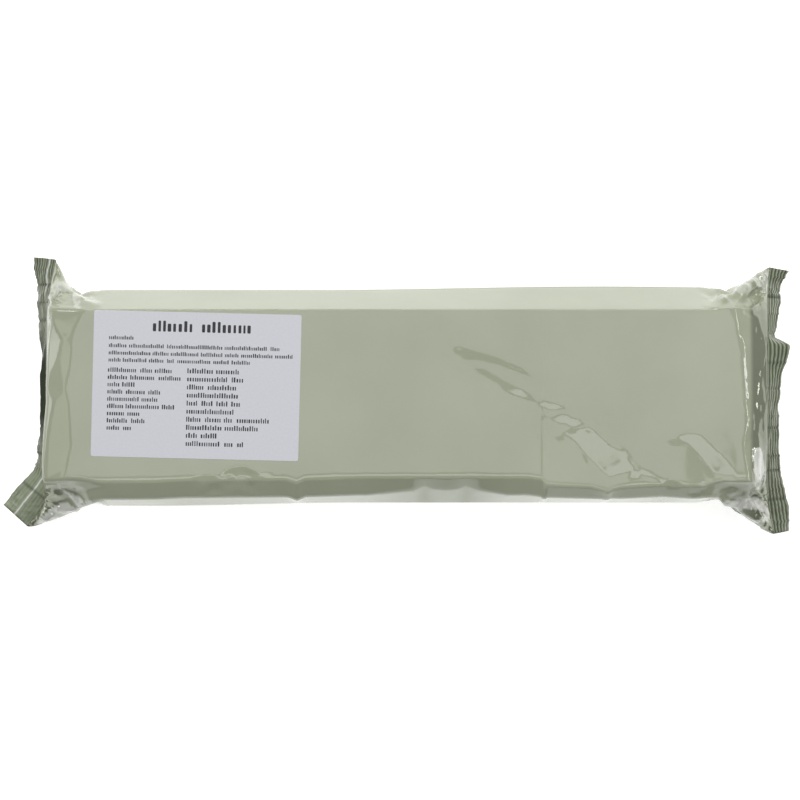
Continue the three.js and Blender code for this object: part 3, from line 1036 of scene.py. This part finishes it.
def makePrint():
    points, faces = [], []
    base = label["lift"] + label["thickness"]
    for mark in printMarks():
        outline = markOutline(*mark)
        n, start = len(outline[0]), len(points)
        points += list(onLabel(*outline, base - labelPrint["sink"]))
        points += list(onLabel(*outline, base + labelPrint["height"]))
        faces.append(tuple(start + n + k for k in range(n)))
        faces.append(tuple(start + n - 1 - k for k in range(n)))
        faces += [(start + k, start + (k + 1) % n, start + n + (k + 1) % n, start + n + k) for k in range(n)]
    return makePiece("labelPrint", points, faces, [inkFinish()], smooth=False)


# materials

def newMaterial(name):
    material = bpy.data.materials.new(name)
    material.use_nodes = True
    return material, material.node_tree, material.node_tree.nodes["Principled BSDF"]


def setInputs(tree, node, inputs):
    # each input is a plain value or another node's output
    for name, value in inputs.items():
        if isinstance(value, bpy.types.NodeSocket):
            tree.links.new(value, node.inputs[name])
        else:
            node.inputs[name].default_value = value


def addNode(tree, kind, inputs, **settings):
    node = tree.nodes.new("ShaderNode" + kind)
    for name, value in settings.items():
        setattr(node, name, value)
    setInputs(tree, node, inputs)
    return node


def attributeNode(tree, name):
    return addNode(tree, "Attribute", {}, attribute_name=name).outputs["Fac"]


def noiseNode(tree, scale, detail, **settings):
    coords = addNode(tree, "TexCoord", {}).outputs["Object"]
    inputs = {"Vector": coords, "Scale": scale, "Detail": detail}
    return addNode(tree, "TexNoise", inputs, **settings).outputs["Fac"]


def rampNode(tree, source, stops):
    ramp = addNode(tree, "ValToRGB", {"Fac": source})
    elements = ramp.color_ramp.elements
    while len(elements) < len(stops):
        elements.new(0.5)
    for element, (position, colour) in zip(elements, stops):
        element.position = position
        element.color = (*colour, 1)
    return ramp.outputs["Color"]


def shadeNode(tree, colour, name, other):
    # mixes in another colour by one of the film's attributes
    inputs = {"Factor": attributeNode(tree, name), "A": colour, "B": (*other, 1)}
    return addNode(tree, "Mix", inputs, data_type="RGBA").outputs["Result"]


def mathNode(tree, operation, *values):
    return addNode(tree, "Math", dict(enumerate(values)), operation=operation).outputs["Value"]


def bumpNode(tree, height, distance, strength, under=None):
    inputs = {"Height": height, "Distance": distance, "Strength": strength}
    if under:
        inputs["Normal"] = under
    return addNode(tree, "Bump", inputs).outputs["Normal"]


def crinkleNode(tree, look, under=None):
    # sharp small ridges, as in crushed film, where the film's crinkle attribute says so
    ridges = noiseNode(tree, look["crinkleScale"], 1.5, noise_type="RIDGED_MULTIFRACTAL")
    setInputs(tree, ridges.node, {"Offset": 1, "Gain": 1.5})
    return bumpNode(tree, ridges, look["crinkleDepth"], attributeNode(tree, "crinkle"), under)


# dull and fresh are a random mottle; the shade tone is painted shade, and the pale tone is painted light on
# the folded flaps
filmLook = dict(
    dull=(0.372, 0.396, 0.293), fresh=(0.408, 0.433, 0.325), paintedShade=(0.200, 0.215, 0.160),
    pale=(0.74, 0.75, 0.69), roughness=0.05, ior=1.52, mottleScale=22,
    wrinkleScale=55, wrinkleDepth=0.00006, crinkleScale=95, crinkleDepth=0.0011,
)
# the crimp's colours: painted shade in the valleys and painted light on the ridges, a painted highlight on
# the plain line, and painted shade under the left rim and in the cross folds
crimpLook = dict(
    valley=(0.085, 0.097, 0.062), slope=(0.158, 0.178, 0.118), ridge=(0.310, 0.342, 0.248),
    gap=(0.80, 0.81, 0.77), crimpShade=(0.045, 0.052, 0.036), roughness=0.22, sheen=0.13,
    patchScale=240, patchAmount=0.5, crinkleScale=150, crinkleDepth=0.0006,
)
paperLook = dict(
    dull=(0.675, 0.675, 0.725), fresh=(0.710, 0.710, 0.755), roughness=0.75,
    fibreScale=900, fibreDepth=0.00005, fibreStrength=0.3,
)
inkLook = dict(full=(0.016, 0.016, 0.020), worn=(0.040, 0.040, 0.046), roughness=0.5, speckleScale=1500)


def filmFinish():
    material, tree, shader = newMaterial("sage film")
    look = filmLook
    mottle = noiseNode(tree, look["mottleScale"], 4)
    tone = rampNode(tree, mottle, [(0.3, look["dull"]), (0.7, look["fresh"])])
    # painted shade over the right end panel and on the near ears
    tone = shadeNode(tree, tone, "shade", look["paintedShade"])
    # painted light on the folded flaps, as if lit through from the floor
    tone = shadeNode(tree, tone, "pale", look["pale"])
    wrinkles = bumpNode(tree, noiseNode(tree, look["wrinkleScale"], 2), look["wrinkleDepth"], 1)
    setInputs(tree, shader, {
        "Base Color": tone, "Roughness": look["roughness"], "IOR": look["ior"],
        "Metallic": attributeNode(tree, "foil"), "Normal": crinkleNode(tree, look, wrinkles),
    })
    return material


def crimpFinish():
    material, tree, shader = newMaterial("crimped film")
    look = crimpLook
    patchy = noiseNode(tree, look["patchScale"], 4)
    uneven = mathNode(tree, "MULTIPLY_ADD", patchy, look["patchAmount"], -look["patchAmount"] / 2)
    height = mathNode(tree, "ADD", uneven, attributeNode(tree, "rib"))
    # painted shade in the crimp's valleys and painted light on its ridges, set by the rib attribute
    tone = rampNode(tree, height, [(0.1, look["valley"]), (0.5, look["slope"]), (0.95, look["ridge"])])
    # painted highlight on the plain line between the crimped bands
    tone = shadeNode(tree, tone, "gapLine", look["gap"])
    # painted shade under the left rim and in the cross folds
    tone = shadeNode(tree, tone, "crimpShade", look["crimpShade"])
    # no shine left where the shade is painted in
    sheen = mathNode(tree, "MULTIPLY_ADD", attributeNode(tree, "crimpShade"), -look["sheen"], look["sheen"])
    setInputs(tree, shader, {
        "Base Color": tone, "Roughness": look["roughness"], "Specular IOR Level": sheen,
        "Normal": crinkleNode(tree, look),
    })
    return material


def paperFinish():
    material, tree, shader = newMaterial("label paper")
    look = paperLook
    fibres = noiseNode(tree, look["fibreScale"], 5)
    tone = rampNode(tree, fibres, [(0.3, look["dull"]), (0.7, look["fresh"])])
    relief = bumpNode(tree, fibres, look["fibreDepth"], look["fibreStrength"])
    setInputs(tree, shader, {"Base Color": tone, "Roughness": look["roughness"], "Normal": relief})
    return material


def inkFinish():
    material, tree, shader = newMaterial("print ink")
    look = inkLook
    speckle = noiseNode(tree, look["speckleScale"], 2)
    tone = rampNode(tree, speckle, [(0.35, look["full"]), (0.7, look["worn"])])
    setInputs(tree, shader, {"Base Color": tone, "Roughness": look["roughness"]})
    return material


# camera, light and floor

view = dict(height=1.312, lookAt=(0.0013, -0.0026), lens=111.2)
studio = dict(
    floorHalf=3000, floorColour=(0.86, 0.86, 0.86, 1), floorGlow=0.68,
    worldColour=(0.95, 1.0, 1.0, 1), worldStrength=0.12,
    # place, size and brightness of each softbox, and if need be its colour and the place it faces away from
    softboxes=dict(
        farKey=dict(place=(0.0, 1.45, 1.80), size=(2.0, 0.6), glow=8.6),
        leftStrip=dict(place=(-1.75, 0.1, 0.40), size=(1.1, 0.44), glow=3.2),
        leftPanel=dict(place=(-1.33, 0.0, 2.40), size=(0.60, 0.80), glow=1.45, facing=(0.0, 0.0, 2.4),
                       colour=(0.92, 1.0, 0.84)),
        rightStrip=dict(place=(1.25, -0.05, 1.1), size=(0.9, 0.15), glow=9.0),
        nearStrip=dict(place=(0.0, -0.30, 2.40), size=(2.4, 0.16), glow=2.85),
        overhead=dict(place=(-0.06, 0.17, 2.60), size=(1.26, 0.64), glow=1.7, facing=(0.0, 0.17, 2.60)),
        nearLeftCorner=dict(place=(-1.30, -1.00, 0.85), size=(0.50, 0.06), glow=14.0),
        nearRightCorner=dict(place=(1.30, -1.00, 0.85), size=(0.50, 0.06), glow=14.0),
        farRightCorner=dict(place=(1.45, 0.75, 0.85), size=(0.45, 0.06), glow=14.0),
    ),
)


def makeCamera():
    camera = bpy.data.cameras.new("camera")
    camera.lens = view["lens"]
    camera.sensor_width = 36
    camera.clip_end = 20
    obj = linkObject("camera", camera)
    obj.location = (*view["lookAt"], view["height"])
    bpy.context.scene.camera = obj


def makeStudio():
    half = studio["floorHalf"]
    corners = [(-half, -half, 0), (half, -half, 0), (half, half, 0), (-half, half, 0)]
    material, tree, shader = newMaterial("pale floor")
    setInputs(tree, shader, {
        "Base Color": studio["floorColour"], "Roughness": 0.9,
        "Emission Color": (1, 1, 1, 1), "Emission Strength": studio["floorGlow"],
    })
    makePiece("floor", corners, [(0, 1, 2, 3)], [material])
    world = bpy.data.worlds.new("studio")
    world.use_nodes = True
    glow = {"Color": studio["worldColour"], "Strength": studio["worldStrength"]}
    setInputs(world.node_tree, world.node_tree.nodes["Background"], glow)
    bpy.context.scene.world = world
    for name, box in studio["softboxes"].items():
        light = bpy.data.lights.new(name, "AREA")
        light.shape = "RECTANGLE"
        light.size, light.size_y = box["size"]
        light.energy = box["glow"] * math.pi * box["size"][0] * box["size"][1]
        light.color = box.get("colour", (1, 1, 1))
        obj = linkObject(name, light)
        obj.location = box["place"]
        facing = -Vector(box.get("facing", box["place"]))
        obj.rotation_euler = facing.to_track_quat("-Z", "Y").to_euler()
    bpy.context.scene.view_settings.view_transform = "Standard"


makeCamera()
makeStudio()
print("camera and studio ready")
film, filmRings = makeFilm()
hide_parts("pack")
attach(film, "root")
seam = makeSeam(filmRings)
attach(seam, "root")
paper = makeLabel()
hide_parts("label")
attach(paper, "root")
ink = makePrint()
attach(ink, "root")
print("label ready")
